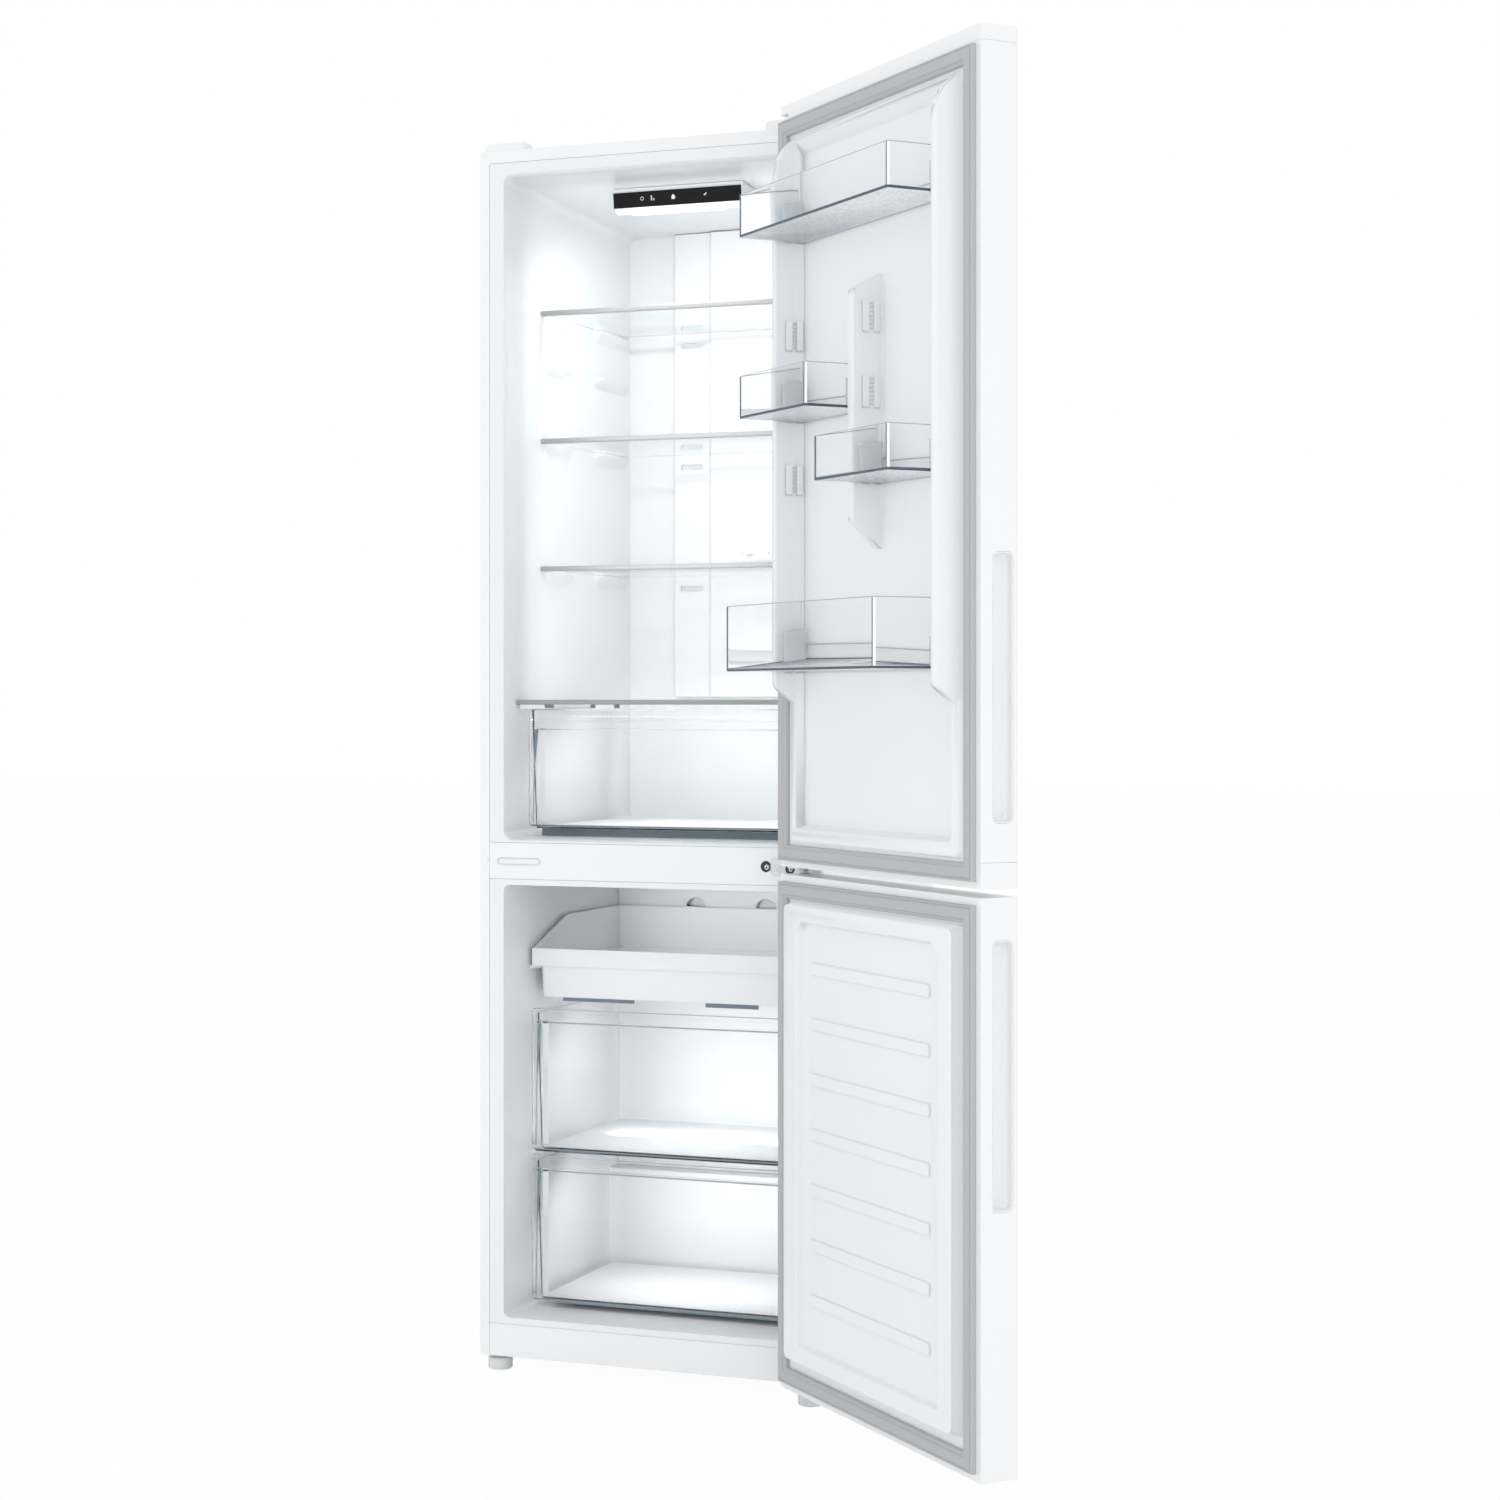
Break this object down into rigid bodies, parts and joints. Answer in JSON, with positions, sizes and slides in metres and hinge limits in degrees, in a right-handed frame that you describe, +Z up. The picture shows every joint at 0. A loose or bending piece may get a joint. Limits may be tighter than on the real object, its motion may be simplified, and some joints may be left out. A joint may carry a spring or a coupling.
{
  "type": "bottom freezer refrigerator",
  "caption": "Upright white refrigerator with the freezer below, both doors open on the right, with glass shelves, clear door bins, a crisper and freezer drawers.",
  "frame": {"origin": "centre of the base of the box round the whole part with both doors open, on the floor", "axes": "+Z up, -Y out of the front of the cabinet, +X to the right of someone facing it"},
  "size_m": [1.029, 1.1108, 2.0297],
  "materials": {
    "white_steel": "satin white paint",
    "white_plastic": "satin white moulding",
    "liner_white": "smooth white liner sheet",
    "grey_trim": "satin grey trim",
    "gasket_grey": "matt light grey seal",
    "clear_plastic": "clear moulding",
    "shelf_glass": "tempered glass",
    "black_glass": "gloss black panel",
    "lamp_lens": "frosted lens",
    "zinc": "zinc plated",
    "aluminium": "bare fins",
    "copper": "drawn copper",
    "black_paint": "black paint",
    "black_rubber": "moulded rubber",
    "foam": "rigid insulating foam",
    "grey_plastic": "grey moulding"
  },
  "bodies": {
    "cabinet": {"cabinet_shell": "white_steel", "rear_panel": "white_steel", "insulation_foam": "foam", "fridge_liner": "liner_white", "freezer_liner": "liner_white", "middle_rail": "white_plastic", "base_plate": "white_steel", "compressor_tray": "zinc", "compressor": "black_paint", "compressor_mount_1": "black_rubber", "compressor_mount_2": "black_rubber", "compressor_mount_3": "black_rubber", "compressor_mount_4": "black_rubber", "refrigerant_tubes": "copper", "drip_tray": "grey_plastic", "top_hinge_bracket": "zinc", "top_hinge_cover": "white_plastic", "hinge_seat_cover": "white_plastic", "middle_hinge_bracket": "zinc", "bottom_hinge_bracket": "zinc", "control_housing": "white_plastic", "control_glass": "black_glass", "lamp_lens": "lamp_lens", "air_duct_panel": "liner_white", "shelf_glass_1": "shelf_glass", "shelf_trim_1": "grey_trim", "shelf_glass_2": "shelf_glass", "shelf_trim_2": "grey_trim", "shelf_glass_3": "shelf_glass", "shelf_trim_3": "grey_trim", "crisper_cover_glass": "shelf_glass", "crisper_cover_trim": "grey_trim", "egg_tray": "white_plastic", "freezer_glass_shelf": "shelf_glass", "freezer_back_panel": "liner_white", "evaporator": "aluminium"},
    "upper_door": {"upper_door_shell": "white_steel", "upper_door_foam": "foam", "upper_door_top_cap": "white_plastic", "upper_door_bottom_cap": "white_plastic", "upper_door_lining": "liner_white", "upper_door_gasket": "gasket_grey", "upper_door_grip": "white_plastic", "door_bin_upper": "clear_plastic", "door_bin_hinge_side": "clear_plastic", "door_bin_free_side": "clear_plastic", "door_bin_bottle": "clear_plastic"},
    "lower_door": {"lower_door_shell": "white_steel", "lower_door_foam": "foam", "lower_door_lining": "liner_white", "lower_door_gasket": "gasket_grey", "lower_door_grip": "white_plastic"},
    "crisper": {"crisper_drawer": "clear_plastic"},
    "freezer_drawer_top": {"freezer_top_drawer": "white_plastic"},
    "freezer_drawer_middle": {"freezer_middle_drawer": "clear_plastic"},
    "freezer_drawer_bottom": {"freezer_bottom_drawer": "clear_plastic"},
    "fan": {"evaporator_fan": "grey_plastic"},
    "rollers": {"rear_rollers": "grey_plastic"},
    "left_foot": {"foot_left": "grey_plastic"},
    "right_foot": {"foot_right": "grey_plastic"}
  },
  "joints": [
    {"name": "upper_door_hinge", "type": "hinge", "parent": "cabinet", "child": "upper_door", "pos_m": [0.0715, -0.08464, 0], "axis": [0, 0, 1], "range_deg": [-137, 3]},
    {"name": "lower_door_hinge", "type": "hinge", "parent": "cabinet", "child": "lower_door", "pos_m": [0.0715, -0.08464, 0], "axis": [0, 0, 1], "range_deg": [-137, 3]},
    {"name": "crisper_slide", "type": "slide", "parent": "cabinet", "child": "crisper", "axis": [0, -1, 0], "range_m": [0, 0.3]},
    {"name": "freezer_top_slide", "type": "slide", "parent": "cabinet", "child": "freezer_drawer_top", "axis": [0, -1, 0], "range_m": [0, 0.3]},
    {"name": "freezer_middle_slide", "type": "slide", "parent": "cabinet", "child": "freezer_drawer_middle", "axis": [0, -1, 0], "range_m": [0, 0.3]},
    {"name": "freezer_bottom_slide", "type": "slide", "parent": "cabinet", "child": "freezer_drawer_bottom", "axis": [0, -1, 0], "range_m": [0, 0.26]},
    {"name": "evaporator_fan_spin", "type": "hinge", "parent": "cabinet", "child": "fan", "pos_m": [-0.2145, 0.42436, 0.64], "axis": [0, 1, 0], "continuous": true},
    {"name": "rear_roller_spin", "type": "hinge", "parent": "cabinet", "child": "rollers", "pos_m": [-0.2145, 0.51936, 0.016], "axis": [1, 0, 0], "continuous": true},
    {"name": "left_foot_screw", "type": "hinge", "parent": "cabinet", "child": "left_foot", "pos_m": [-0.4935, -0.00164, 0], "axis": [0, 0, 1], "continuous": true},
    {"name": "right_foot_screw", "type": "hinge", "parent": "cabinet", "child": "right_foot", "pos_m": [0.0675, -0.04664, 0], "axis": [0, 0, 1], "continuous": true}
  ]
}
